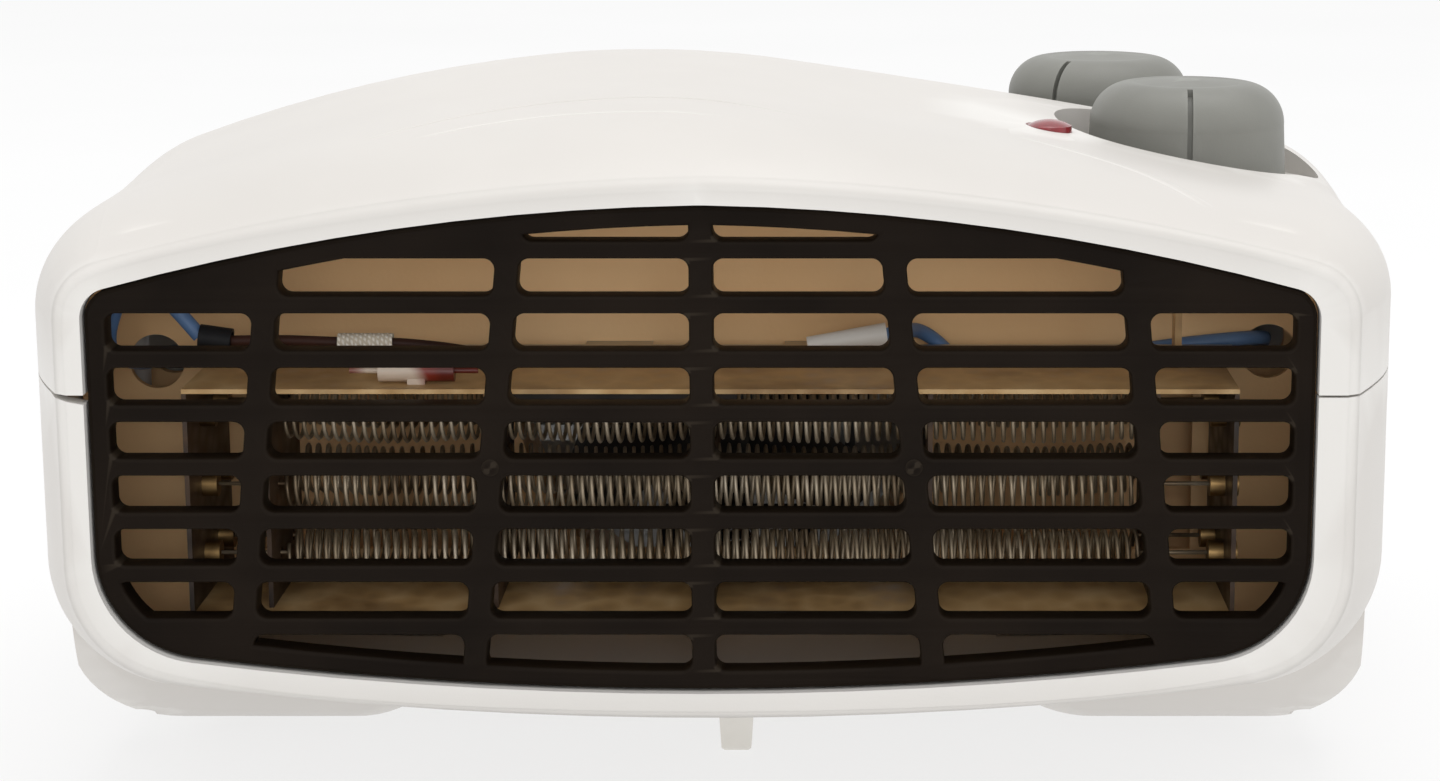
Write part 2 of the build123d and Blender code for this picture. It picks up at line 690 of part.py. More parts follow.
def control_room():
    """Space that the two partitions leave to the selector's pocket, the lamp and the leads."""
    x, y = SELECTOR_XY
    room = cyl_z(x, y, (POCKET_FLOOR_Z - WALL - 0.7, 140), POCKET_R + WALL + 0.7)
    room += cyl_z(*LAMP_XY, (85, 140), LAMP_R + 1.5)
    for x, z in LEAD_HOLES:
        room += cyl_y(x, z, (BAFFLE_Y[0] - 1, SHROUD_Y + 4), 5.0)
    return room


def duct_baffle():
    """Front partition: closed above the element, with a window the size of the mica box."""
    inside = casing_block(WALL + 0.7, BAFFLE_Y[0], BAFFLE_Y[1])
    plate = inside & box((-200, 200), BAFFLE_Y, (-10, 200))
    half = ELEMENT_HALF - 3
    plate -= box((-half, half), (BAFFLE_Y[0] - 1, BAFFLE_Y[1] + 1), (ELEMENT_Z[0] + 2, ELEMENT_Z[1] - 2))
    return plate - control_room()


def fan_impeller():
    """Axial fan: hub and pitched blades."""
    mid = (FAN_Y[0] + FAN_Y[1]) / 2
    hub = cyl_y(0, 0, FAN_Y, 10.0)
    blades = 7
    fan = hub
    for index in range(blades):
        blade = Pos(0, mid, 22.5) * Rot(0, 0, 35) * Box(17.0, 1.5, 26.0)
        fan += Rot(0, index * 360 / blades, 0) * blade
    fan = fan & cyl_y(0, 0, FAN_Y, FAN_R)
    fan -= cyl_y(0, 0, (FAN_Y[0] + 3, FAN_Y[1] + 1), SHAFT_R)
    return Pos(0, 0, AXIS_Z) * fan


def motor_shaft():
    return cyl_y(0, AXIS_Z, (FAN_Y[0] + 3, SHAFT_END_Y), SHAFT_R)


def motor_rotor():
    return cyl_y(0, AXIS_Z, CORE_Y, ROTOR_R) - cyl_y(0, AXIS_Z, (CORE_Y[0] - 1, CORE_Y[1] + 1), SHAFT_R)


def stator_core():
    """C-shaped lamination stack with the rotor bore and the limb that carries the winding."""
    core = box((-CORE_X, CORE_X), CORE_Y, (CORE_LOW, CORE_HIGH))
    core -= box((-14, 14), (CORE_Y[0] - 1, CORE_Y[1] + 1), (AXIS_Z + 18, CORE_HIGH - 12))
    core -= cyl_y(0, AXIS_Z, (CORE_Y[0] - 1, CORE_Y[1] + 1), ROTOR_R + AIR_GAP)
    for x, z in MOTOR_SCREWS:
        core -= cyl_y(x, z, (CORE_Y[0] - 1, CORE_Y[1] + 1), 1.8)
    through = (CORE_Y[0] - 1, CORE_Y[1] + 1)
    for side in (-1, 1):
        shading_slot = sorted((side * 13.0, side * 15.2))
        core -= box(shading_slot, through, (AXIS_Z - 4, AXIS_Z + 4))
    return core


def stator_bobbin():
    """Bobbin with end cheeks round the top limb."""
    x = (-13.8, 13.8)
    limb = box((-15, 15), CORE_Y, (CORE_HIGH - 12, CORE_HIGH))
    bobbin = box(x, (CORE_Y[0] - 2, CORE_Y[1] + 2), (CORE_HIGH - 14, CORE_HIGH + 2))
    for side in (-1, 1):
        cheek = sorted((side * 12.4, side * 13.8))
        bobbin += box(cheek, (CORE_Y[0] - 8, CORE_Y[1] + 8), (CORE_HIGH - 19, CORE_HIGH + 8))
    return bobbin - limb


def stator_winding():
    """Copper winding between the bobbin's cheeks."""
    x = (-12.4, 12.4)
    outer = box(x, (CORE_Y[0] - 7, CORE_Y[1] + 7), (CORE_HIGH - 18, CORE_HIGH + 7))
    outer = fillet(outer.edges().filter_by(Axis.X), 5.0)
    return outer - box(x, (CORE_Y[0] - 2, CORE_Y[1] + 2), (CORE_HIGH - 14, CORE_HIGH + 2))


def motor_strap():
    """Steel strap that carries the motor across the duct, with the front bearing seat."""
    strap = box((-57, 57), (STRAP_Y, STRAP_Y + 1.6), (AXIS_Z - 7, AXIS_Z + 7))
    strap += box((-23, 23), (STRAP_Y, STRAP_Y + 1.6), (AXIS_Z - 17, AXIS_Z + 17))
    for side in (-1, 1):
        leg = sorted((side * 14.6, side * 23.0))
        strap += box(leg, (STRAP_Y, CORE_Y[0]), (AXIS_Z - 17, AXIS_Z - 9))
        strap += box(leg, (STRAP_Y, CORE_Y[0]), (AXIS_Z + 9, AXIS_Z + 17))
    strap -= cyl_y(0, AXIS_Z, (STRAP_Y - 5, STRAP_Y + 5), 5.0)
    for x, z in MOTOR_SCREWS:
        strap -= cyl_y(x, z, (STRAP_Y - 1, CORE_Y[0] + 1), 1.8)
    for x in (-52.0, 52.0):
        strap -= cyl_y(x, AXIS_Z, (STRAP_Y - 1, STRAP_Y + 3), 1.8)
    return strap


def rear_bracket():
    """Rear bearing bracket, a dished plate on the back of the core."""
    y = REAR_BRACKET_Y
    plate = box((-23, 23), (y, y + 1.6), (AXIS_Z - 17, AXIS_Z + 17))
    for side in (-1, 1):
        leg = sorted((side * 14.6, side * 23.0))
        plate += box(leg, (CORE_Y[1], y + 1.6), (AXIS_Z - 17, AXIS_Z - 9))
        plate += box(leg, (CORE_Y[1], y + 1.6), (AXIS_Z + 9, AXIS_Z + 17))
    plate -= cyl_y(0, AXIS_Z, (y - 5, y + 5), 5.0)
    for x, z in MOTOR_SCREWS:
        plate -= cyl_y(x, z, (CORE_Y[1] - 1, y + 3), 1.8)
    return plate


def bearing_bushes():
    """Sintered bearings in the strap and in the rear bracket."""
    bushes = []
    for y in (STRAP_Y, REAR_BRACKET_Y):
        bush = cyl_y(0, AXIS_Z, (y - 1.5, y + 4.0), 5.0)
        bushes.append(bush - cyl_y(0, AXIS_Z, (y - 3, y + 6), SHAFT_R + RUN))
    return Compound(children=bushes)


def screw_y(x, z, head_y, length, r, direction=1):
    """Pan-head screw along Y; direction +1 drives it towards the back."""
    head = sorted((head_y - direction * 1.8, head_y))
    shank = sorted((head_y, head_y + direction * length))
    return cyl_y(x, z, head, r * 1.9) + cyl_y(x, z, shank, r)


def motor_screws():
    """Screws that clamp bracket, core and strap."""
    length = REAR_BRACKET_Y + 1.6 - STRAP_Y + 2
    screws = [screw_y(x, z, REAR_BRACKET_Y + 1.6, length, 1.7, -1) for x, z in MOTOR_SCREWS]
    return Compound(children=screws)


def strap_screws():
    """Screws from the strap into the shroud's two pillars."""
    screws = [screw_y(x, AXIS_Z, STRAP_Y + 1.6, 10.0, 1.3, -1) for x in (-52.0, 52.0)]
    return Compound(children=screws)


# ---------------------------------------------------------------- tip-over switch

def tip_plunger():
    """Square peg, tapered at its foot, with a stop flange."""
    half = PLUNGER_HALF
    peg = box((-half, half), (-half, half), (14, FLANGE_Z))
    foot = loft([Pos(0, 0, 0.6) * Rectangle(5.6, 5.6), Pos(0, 0, 14) * Rectangle(2 * half, 2 * half)])
    sole = loft([Rectangle(4.4, 4.4), Pos(0, 0, 0.6) * Rectangle(5.6, 5.6)])
    flange = box((-6, 6), (-4.5, 4.5), (FLANGE_Z, FLANGE_Z + 1.6))
    return Pos(PLUNGER_XY[0], PLUNGER_XY[1], 0) * (sole + foot + peg + flange)


def contact_bridge():
    """Brass bridge on the plunger's flange with its two contact buttons."""
    z = FLANGE_Z + 1.6
    bridge = box((-10, 10), (-3, 3), (z, z + 0.6))
    for x in (-8, 8):
        bridge += cyl_z(x, 0, (z + 0.6, z + 1.6), 1.8)
    return Pos(PLUNGER_XY[0], PLUNGER_XY[1], 0) * bridge


def tip_contacts():
    """Fixed contact tags above the bridge's buttons."""
    z = FLANGE_Z + 3.6
    tags = []
    for side in (-1, 1):
        x = sorted((side * 5.6, side * 16.0))
        tag = box(x, (-2.5, 2.5), (z, z + 0.8))
        tag += cyl_z(side * 8, 0, (z - 0.35, z), 1.8)
        tags.append(Pos(PLUNGER_XY[0], PLUNGER_XY[1], 0) * tag)
    return Compound(children=tags)


def tip_housing():
    """Switch housing standing on the belly: two cheeks and a roof that backs the spring."""
    housing = box((-14, 14), (-5.2, 5.2), (FLOOR_Z, HOUSING_TOP))
    housing -= box((-11.2, 11.2), (-6, 6), (FLOOR_Z - 1, HOUSING_TOP - 2))
    z = FLANGE_Z + 3.6
    for side in (-1, 1):
        x = sorted((side * 11.0, side * 15.0))
        housing -= box(x, (-2.5, 2.5), (z, z + 0.8))
    return Pos(PLUNGER_XY[0], PLUNGER_XY[1], 0) * housing


def tip_spring():
    """Compression spring between the bridge and the housing's roof."""
    low = FLANGE_Z + 2.2
    high = HOUSING_TOP - 2
    turns = 4
    path = Helix((high - low - 1.0) / turns, high - low - 1.0, 2.6)
    wire = Plane(origin=path @ 0, z_dir=path % 0) * Circle(0.4)
    coil = sweep(wire, path, is_frenet=True)
    return Pos(PLUNGER_XY[0], PLUNGER_XY[1], low + 0.5) * coil


# ---------------------------------------------------------------- wiring and small parts
def cord_inlet_bush():
    """Rubber bush in the rear wall through which the supply cord would enter."""
    x, z = CORD_XZ
    outer = BACK_Y
    bush = cyl_y(x, z, (outer - 12, outer), 5.95)
    bush += cyl_y(x, z, (outer - 12, outer - WALL - 3.2), 8.0)
    return bush - cyl_y(x, z, (outer - 20, outer + 10), CORD_BORE_R)


def terminal_block():
    """Two-way terminal block on the belly."""
    x, y, z = -40.0, 66.0, BELLY_Z + WALL + 1.6
    block = box((x - 14, x + 14), (y - 8, y + 8), (z, z + 12))
    for offset in (-7, 7):
        block -= cyl_y(x + offset, z + 5, (y - 9, y + 9), 1.9)
        block -= cyl_z(x + offset, y, (z + 5, z + 13), 2.2)
    return block


def lead(r, points):
    """Round lead along straight runs joined by tangent arcs."""
    radii = []
    for before, here, after in zip(points, points[1:], points[2:]):
        run_in = Vector(*here) - Vector(*before)
        run_out = Vector(*after) - Vector(*here)
        half_turn = math.radians(run_in.get_angle(run_out)) / 2
        radii.append(0.45 * min(run_in.length, run_out.length) / math.tan(half_turn))
    path = FilletPolyline(*points, radius=radii)
    profile = Plane(origin=path @ 0, z_dir=path % 0) * Circle(r)
    return sweep(profile, path)


def foot_pads():
    """Rubber pads in the runners' recesses."""
    pads = [cyl_z(x, y, (0, PAD_HEIGHT), PAD_R) for x in (-PAD_X, PAD_X) for y in PAD_Y]
    return Compound(children=pads)


def casing_screws():
    """Long screws from below into the upper shell's pillars."""
    screws = []
    for x, y in POST_XY:
        head = cyl_z(x, y, (SPLIT_Z - 8, SPLIT_Z - 6), 2.7)
        screws.append(head + cyl_z(x, y, (SPLIT_Z - 6, SPLIT_Z + 12), 1.4))
    return Compound(children=screws)


# ---------------------------------------------------------------- assembly
def build():
    upper, lower = casing_shells()
    nodes = {
        "upper_casing": upper,
        "lower_casing": lower,
        "front_grille": front_grille(),
        "rear_grille": rear_grille(),
        "function_knob": knob(SELECTOR_XY, SELECTOR_POINTER),
        "thermostat_knob": knob(THERMOSTAT_XY, THERMOSTAT_POINTER),
        "selector_spindle": spindle(SELECTOR_XY, SELECTOR_POINTER, POCKET_FLOOR_Z - WALL - 9),
        "thermostat_spindle": spindle(THERMOSTAT_XY, THERMOSTAT_POINTER, POCKET_FLOOR_Z - WALL - 9),
        "selector_body": selector_body(),
        "thermostat_body": thermostat_body(),
        "selector_nut": bush_nut(SELECTOR_XY),
        "thermostat_nut": bush_nut(THERMOSTAT_XY),
        "bimetal_blade": bimetal_blade(),
        "lamp_lens": lamp_lens(),
        "neon_lamp": neon_lamp(),
        "mica_end_left": mica_end(-1),
        "mica_end_right": mica_end(1),
        "mica_top": mica_sheet(ELEMENT_Z[1] - MICA),
        "mica_bottom": mica_sheet(ELEMENT_Z[0]),
        "mica_combs": mica_combs(),
        "front_coils": heating_coils(0),
        "rear_coils": heating_coils(1),
        "terminal_rivets": terminal_rivets(),
        "element_brackets": element_brackets(),
        "element_rails": element_rails(),
        "thermal_cutout": thermal_cutout(),
        "thermal_fuse": thermal_fuse(),
        "lead_guide": lead_guide(),
        "lead_sleeve": lead_sleeve(),
        "glass_sleeve": glass_sleeve(),
        "splice_cap": splice_cap(),
        "duct_baffle": duct_baffle(),
        "fan_shroud": fan_shroud(),
        "fan_impeller": fan_impeller(),
        "motor_shaft": motor_shaft(),
        "motor_rotor": motor_rotor(),
        "stator_core": stator_core(),
        "stator_bobbin": stator_bobbin(),
        "stator_winding": stator_winding(),
        "motor_strap": motor_strap(),
        "rear_bracket": rear_bracket(),
        "bearing_bushes": bearing_bushes(),
        "motor_screws": motor_screws(),
        "strap_screws": strap_screws(),
        "tip_plunger": tip_plunger(),
        "contact_bridge": contact_bridge(),
        "tip_contacts": tip_contacts(),
        "tip_housing": tip_housing(),
        "tip_spring": tip_spring(),
        "cord_inlet_bush": cord_inlet_bush(),
        "terminal_block": terminal_block(),
        "foot_pads": foot_pads(),
        "casing_screws": casing_screws(),
    }
    for name, (r, points) in LEADS.items():
        nodes[name] = lead(r, points)
    return nodes


for name, shape in build().items():
    export_step(shape, f"parts/{name}.step")
    print(name, round(shape.volume), shape.bounding_box())
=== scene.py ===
"""Looks of the flat fan heater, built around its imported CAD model.  Metres, in the CAD's frame."""
import bmesh
import bpy
import math
from mathutils import Matrix, Vector, noise
from mathutils.bvhtree import BVHTree


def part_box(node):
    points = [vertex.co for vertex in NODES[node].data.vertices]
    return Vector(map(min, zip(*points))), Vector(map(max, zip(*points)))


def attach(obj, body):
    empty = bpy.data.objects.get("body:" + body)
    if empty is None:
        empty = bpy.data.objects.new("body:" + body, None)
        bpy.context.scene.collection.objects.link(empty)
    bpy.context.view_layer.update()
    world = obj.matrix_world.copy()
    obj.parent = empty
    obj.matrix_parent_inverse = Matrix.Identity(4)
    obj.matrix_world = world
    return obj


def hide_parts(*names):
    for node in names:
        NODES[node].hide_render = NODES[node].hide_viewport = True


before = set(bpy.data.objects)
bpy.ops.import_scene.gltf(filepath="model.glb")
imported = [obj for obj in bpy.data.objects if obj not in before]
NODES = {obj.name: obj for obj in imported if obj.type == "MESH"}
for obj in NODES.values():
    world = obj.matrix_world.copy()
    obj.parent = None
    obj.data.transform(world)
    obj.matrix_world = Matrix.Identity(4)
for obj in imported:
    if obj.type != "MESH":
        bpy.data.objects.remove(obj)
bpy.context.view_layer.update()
SCENE = bpy.context.scene

# ---------------------------------------------------------------- camera, lights, stage
CAMERA_PLACE = (0.022, -0.605, 0.184)
CAMERA_PITCH_DOWN = 11.5
LENS_MM = 78.15
SENSOR_MM = 36.0
SHIFT_X = -0.0833
CLIP_START = 0.02
WORLD_STRENGTH = 1.0
LIGHTS = (                   # name, place, target, size and watts; the last fills in behind the grille
    ("top_softbox", (0.12, 0.0, 1.3), (0, 0, 0.08), (1.2, 1.0), 6.2),
    ("front_softbox", (0.10, -1.37, 0.35), (0, 0, 0.06), (0.40, 0.20), 1.8),
    ("inner_fill", (0.0, -0.0895, 0.072), (0.0, 0.0, 0.072), (0.196, 0.072), 0.012),
)
FLOOR_HALF = 3.0
FLOOR_GLOW = 0.70            # lifts the floor to the white of a lit studio table


def make_camera():
    data = bpy.data.cameras.new("view")
    data.lens = LENS_MM
    data.sensor_width = SENSOR_MM
    data.shift_x = SHIFT_X
    data.clip_start = CLIP_START
    camera = bpy.data.objects.new("view", data)
    camera.location = CAMERA_PLACE
    camera.rotation_euler = (math.radians(90 - CAMERA_PITCH_DOWN), 0, 0)
    SCENE.collection.objects.link(camera)
    SCENE.camera = camera


def area_light(name, place, target, size, power):
    """Rectangular lamp that faces its target."""
    data = bpy.data.lights.new(name, "AREA")
    data.shape = "RECTANGLE"
    data.size, data.size_y = size
    data.energy = power
    light = bpy.data.objects.new(name, data)
    light.location = place
    light.rotation_euler = (Vector(target) - Vector(place)).to_track_quat("-Z", "Y").to_euler()
    SCENE.collection.objects.link(light)


def make_lights():
    for light in LIGHTS:
        area_light(*light)
    world = bpy.data.worlds.new("soft_white")
    SCENE.world = world
    world.use_nodes = True
    background = world.node_tree.nodes["Background"]
    background.inputs["Color"].default_value = (1.0, 1.0, 1.0, 1.0)
    background.inputs["Strength"].default_value = WORLD_STRENGTH
    SCENE.view_settings.view_transform = "Standard"


def make_floor():
    mesh = bpy.data.meshes.new("floor")
    signs = ((-1, -1), (1, -1), (1, 1), (-1, 1))
    mesh.from_pydata([(x * FLOOR_HALF, y * FLOOR_HALF, 0) for x, y in signs], [], [(0, 1, 2, 3)])
    floor = bpy.data.objects.new("floor", mesh)
    SCENE.collection.objects.link(floor)
    glow = {
        "Specular IOR Level": 0.0,
        "Emission Color": (1, 1, 1, 1),
        "Emission Strength": FLOOR_GLOW,
    }
    look = moulded("pale_floor", srgb(134, 134, 134), srgb(137, 137, 137), 3.0, (0.85, 0.95),
                   200.0, 0.00002, glow)
    floor.data.materials.append(look)


# ---------------------------------------------------------------- materials
def srgb(red, green, blue):
    """Linear colour of an 8-bit display colour."""
    return tuple(((c / 255 + 0.055) / 1.055) ** 2.4 for c in (red, green, blue)) + (1.0,)


class Finish:
    """Node tree of one procedural material, in the coordinates of the object."""

    def __init__(self, name, sockets=None):
        self.material = bpy.data.materials.new(name)
        self.material.use_nodes = True
        self.tree = self.material.node_tree
        self.shader = self.tree.nodes["Principled BSDF"]
        self.place = self.tree.nodes.new("ShaderNodeTexCoord").outputs["Object"]
        for socket, value in (sockets or {}).items():
            self.shader.inputs[socket].default_value = value

    def stretched(self, stretch):
        mapping = self.tree.nodes.new("ShaderNodeMapping")
        mapping.inputs["Scale"].default_value = stretch
        self.tree.links.new(self.place, mapping.inputs["Vector"])
        return mapping.outputs["Vector"]

    def noise(self, scale, detail=3.0, stretch=(1, 1, 1)):
        node = self.tree.nodes.new("ShaderNodeTexNoise")
        node.inputs["Scale"].default_value = scale
        node.inputs["Detail"].default_value = detail
        self.tree.links.new(self.stretched(stretch), node.inputs["Vector"])
        return node.outputs["Fac"]

    def cells(self, scale, stretch=(1, 1, 1)):
        node = self.tree.nodes.new("ShaderNodeTexVoronoi")
        node.inputs["Scale"].default_value = scale
        self.tree.links.new(self.stretched(stretch), node.inputs["Vector"])
        return node.outputs["Distance"]

    def waves(self, scale, direction, distortion=0.0):
        node = self.tree.nodes.new("ShaderNodeTexWave")
        node.bands_direction = direction
        node.inputs["Scale"].default_value = scale
        node.inputs["Distortion"].default_value = distortion
        node.inputs["Detail Scale"].default_value = 2.0
        self.tree.links.new(self.place, node.inputs["Vector"])
        return node.outputs["Fac"]

    def remap(self, value, low, high):
        node = self.tree.nodes.new("ShaderNodeMapRange")
        node.inputs["To Min"].default_value = low
        node.inputs["To Max"].default_value = high
        self.tree.links.new(value, node.inputs["Value"])
        return node.outputs["Result"]

    def times(self, first, second):
        node = self.tree.nodes.new("ShaderNodeMath")
        node.operation = "MULTIPLY"
        self.tree.links.new(first, node.inputs[0])
        self.tree.links.new(second, node.inputs[1])
        return node.outputs["Value"]

    def ramp(self, value, stops):
        node = self.tree.nodes.new("ShaderNodeValToRGB")
        band = node.color_ramp
        while len(band.elements) < len(stops):
            band.elements.new(0.5)
        for element, (position, colour) in zip(band.elements, stops):
            element.position = position
            element.color = colour
        self.tree.links.new(value, node.inputs["Fac"])
        return node.outputs["Color"]

    def mix(self, factor, first, second):
        """Mix a colour socket with a plain colour."""
        node = self.tree.nodes.new("ShaderNodeMix")
        node.data_type = "RGBA"
        self.tree.links.new(factor, node.inputs["Factor"])
        self.tree.links.new(first, node.inputs[6])
        node.inputs[7].default_value = second
        return node.outputs[2]

    def edges(self):
        """High on convex edges, where the colour is lightened: rubbed wear and painted highlight."""
        geometry = self.tree.nodes.new("ShaderNodeNewGeometry")
        return geometry.outputs["Pointiness"]

    def connect(self, socket, value):
        self.tree.links.new(value, self.shader.inputs[socket])

    def bump(self, height, distance):
        """Raise the surface by up to the distance, on top of any bump it has already."""
        node = self.tree.nodes.new("ShaderNodeBump")
        node.inputs["Distance"].default_value = distance
        self.tree.links.new(height, node.inputs["Height"])
        previous = self.shader.inputs["Normal"]
        if previous.is_linked:
            self.tree.links.new(previous.links[0].from_socket, node.inputs["Normal"])
        self.connect("Normal", node.outputs["Normal"])


EDGE_WEAR_AND_HIGHLIGHT = (0.515, 0.60)       # pointiness at which the lightened edge, rubbed wear and painted highlight, begins and is full
EDGE_WEAR_AND_HIGHLIGHT_MOST = (0.7, 0.7, 0.7, 1)
SCORCH_SPREAD = 0.22         # width of a scorched patch's soft edge, in the noise's own value


def moulded(name, dark, light, patch, rough, grain, relief, sockets=None, edge_wear_and_highlight=None):
    """Moulded plastic or rubber: cloudy tone, uneven gloss, fine grain and lightened edges, partly rubbed
    wear and partly painted highlight.
    """
    finish = Finish(name, sockets)
    colour = finish.ramp(finish.noise(patch, 4.0), [(0.32, dark), (0.68, light)])
    if edge_wear_and_highlight:
        # convex edges lightened: partly rubbed wear, partly painted highlight
        worn_and_lit_edges = finish.ramp(finish.edges(), [(EDGE_WEAR_AND_HIGHLIGHT[0], (0, 0, 0, 1)), (EDGE_WEAR_AND_HIGHLIGHT[1], EDGE_WEAR_AND_HIGHLIGHT_MOST)])
        colour = finish.mix(worn_and_lit_edges, colour, edge_wear_and_highlight)
    finish.connect("Base Color", colour)
    finish.connect("Roughness", finish.remap(finish.noise(patch * 2.3, 5.0), *rough))
    finish.bump(finish.noise(grain, 2.0), relief)
    return finish.material


def metal(name, dark, light, patch, rough, stretch, relief):
    """Worked metal: tarnish in clouds, fine lines along the stretch."""
    finish = Finish(name, {"Metallic": 1.0})
    finish.connect("Base Color", finish.ramp(finish.noise(patch, 5.0), [(0.3, dark), (0.7, light)]))
    finish.connect("Roughness", finish.remap(finish.noise(patch * 4, 4.0, stretch), *rough))
    finish.bump(finish.noise(patch * 12, 3.0, stretch), relief)
    return finish.material


def mica_look(name, tones, burnt, threshold):
    """Pressed mica board: overlapping flakes in three tones, with scorched patches."""
    finish = Finish(name, {"Specular IOR Level": 0.35})
    flakes = finish.cells(260.0, (1.0, 0.6, 1.0))
    colour = finish.ramp(flakes, list(zip((0.0, 0.45, 0.9), tones)))
    scorch = finish.ramp(finish.noise(38.0, 5.0), [
        (threshold, (0, 0, 0, 1)), (threshold + SCORCH_SPREAD, (0.8, 0.8, 0.8, 1))])
    finish.connect("Base Color", finish.mix(scorch, colour, burnt))
    finish.connect("Roughness", finish.remap(flakes, 0.28, 0.62))
    finish.bump(flakes, 0.00008)
    finish.bump(finish.noise(1500.0), 0.00002)
    return finish.material


def wire_look():
    """Resistance wire, oxidised by heat: pale, tan and brown stretches."""
    finish = Finish("resistance_wire", {"Metallic": 0.75})
    tone = finish.ramp(finish.noise(70.0, 4.0, (1.0, 0.4, 0.4)), [
        (0.30, srgb(96, 76, 56)), (0.48, srgb(160, 144, 120)), (0.70, srgb(200, 188, 168))])
    finish.connect("Base Color", tone)
    finish.connect("Roughness", finish.remap(finish.noise(600.0, 4.0), 0.32, 0.60))
    finish.bump(finish.noise(4000.0), 0.00002)
    return finish.material


def fuse_look():
    """Thermal fuse: dark red case with pale bands."""
    finish = Finish("fuse_case", {"Coat Weight": 0.3})
    bands = finish.ramp(finish.noise(90.0, 1.0, (1.0, 0.1, 0.1)), [
        (0.50, srgb(96, 26, 16)), (0.56, srgb(128, 40, 26)), (0.60, srgb(214, 196, 178))])
    finish.connect("Base Color", bands)
    finish.connect("Roughness", finish.remap(finish.noise(400.0), 0.3, 0.5))
    finish.bump(finish.noise(2200.0), 0.00002)
    return finish.material


def woven_look():
    """Braided glass fibre: crossed strands."""
    finish = Finish("glass_braid")
    strands = finish.times(finish.waves(420.0, "DIAGONAL"), finish.waves(420.0, "X"))
    finish.connect("Base Color", finish.ramp(strands, [
        (0.0, srgb(196, 184, 164)), (0.6, srgb(238, 232, 220))]))
    finish.connect("Roughness", finish.remap(finish.noise(500.0), 0.6, 0.85))
    finish.bump(strands, 0.00015)
    return finish.material


def banded_look(name, dark, light, scale, direction, relief, sockets):
    """Stacked laminations or wound turns: fine parallel bands with some unevenness."""
    finish = Finish(name, sockets)
    bands = finish.waves(scale, direction, 0.35)
    finish.connect("Base Color", finish.ramp(bands, [(0.1, dark), (0.75, light)]))
    finish.connect("Roughness", finish.remap(finish.noise(240.0, 4.0), 0.28, 0.50))
    finish.bump(bands, relief)
    finish.bump(finish.noise(900.0), 0.00003)
    return finish.material


def lamp_look():
    """Red lens: glossy, a little clear, with a cloudy tone."""
    finish = Finish("red_lens", {
        "Coat Weight": 0.6, "Coat Roughness": 0.08, "Transmission Weight": 0.25, "IOR": 1.49})
    finish.connect("Base Color", finish.ramp(finish.noise(300.0), [
        (0.3, srgb(128, 12, 26)), (0.7, srgb(160, 26, 40))]))
    finish.connect("Roughness", finish.remap(finish.noise(700.0), 0.16, 0.30))
    finish.bump(finish.noise(900.0, 1.0), 0.00004)
    return finish.material


def glass_look():
    """Neon bulb's glass, faintly amber and smoked."""
    finish = Finish("bulb_glass", {"Transmission Weight": 0.8, "IOR": 1.5})
    finish.connect("Base Color", finish.ramp(finish.noise(200.0), [
        (0.3, srgb(240, 214, 190)), (0.7, srgb(250, 236, 222))]))
    finish.connect("Roughness", finish.remap(finish.noise(500.0), 0.03, 0.12))
    finish.bump(finish.noise(400.0), 0.00002)
    return finish.material


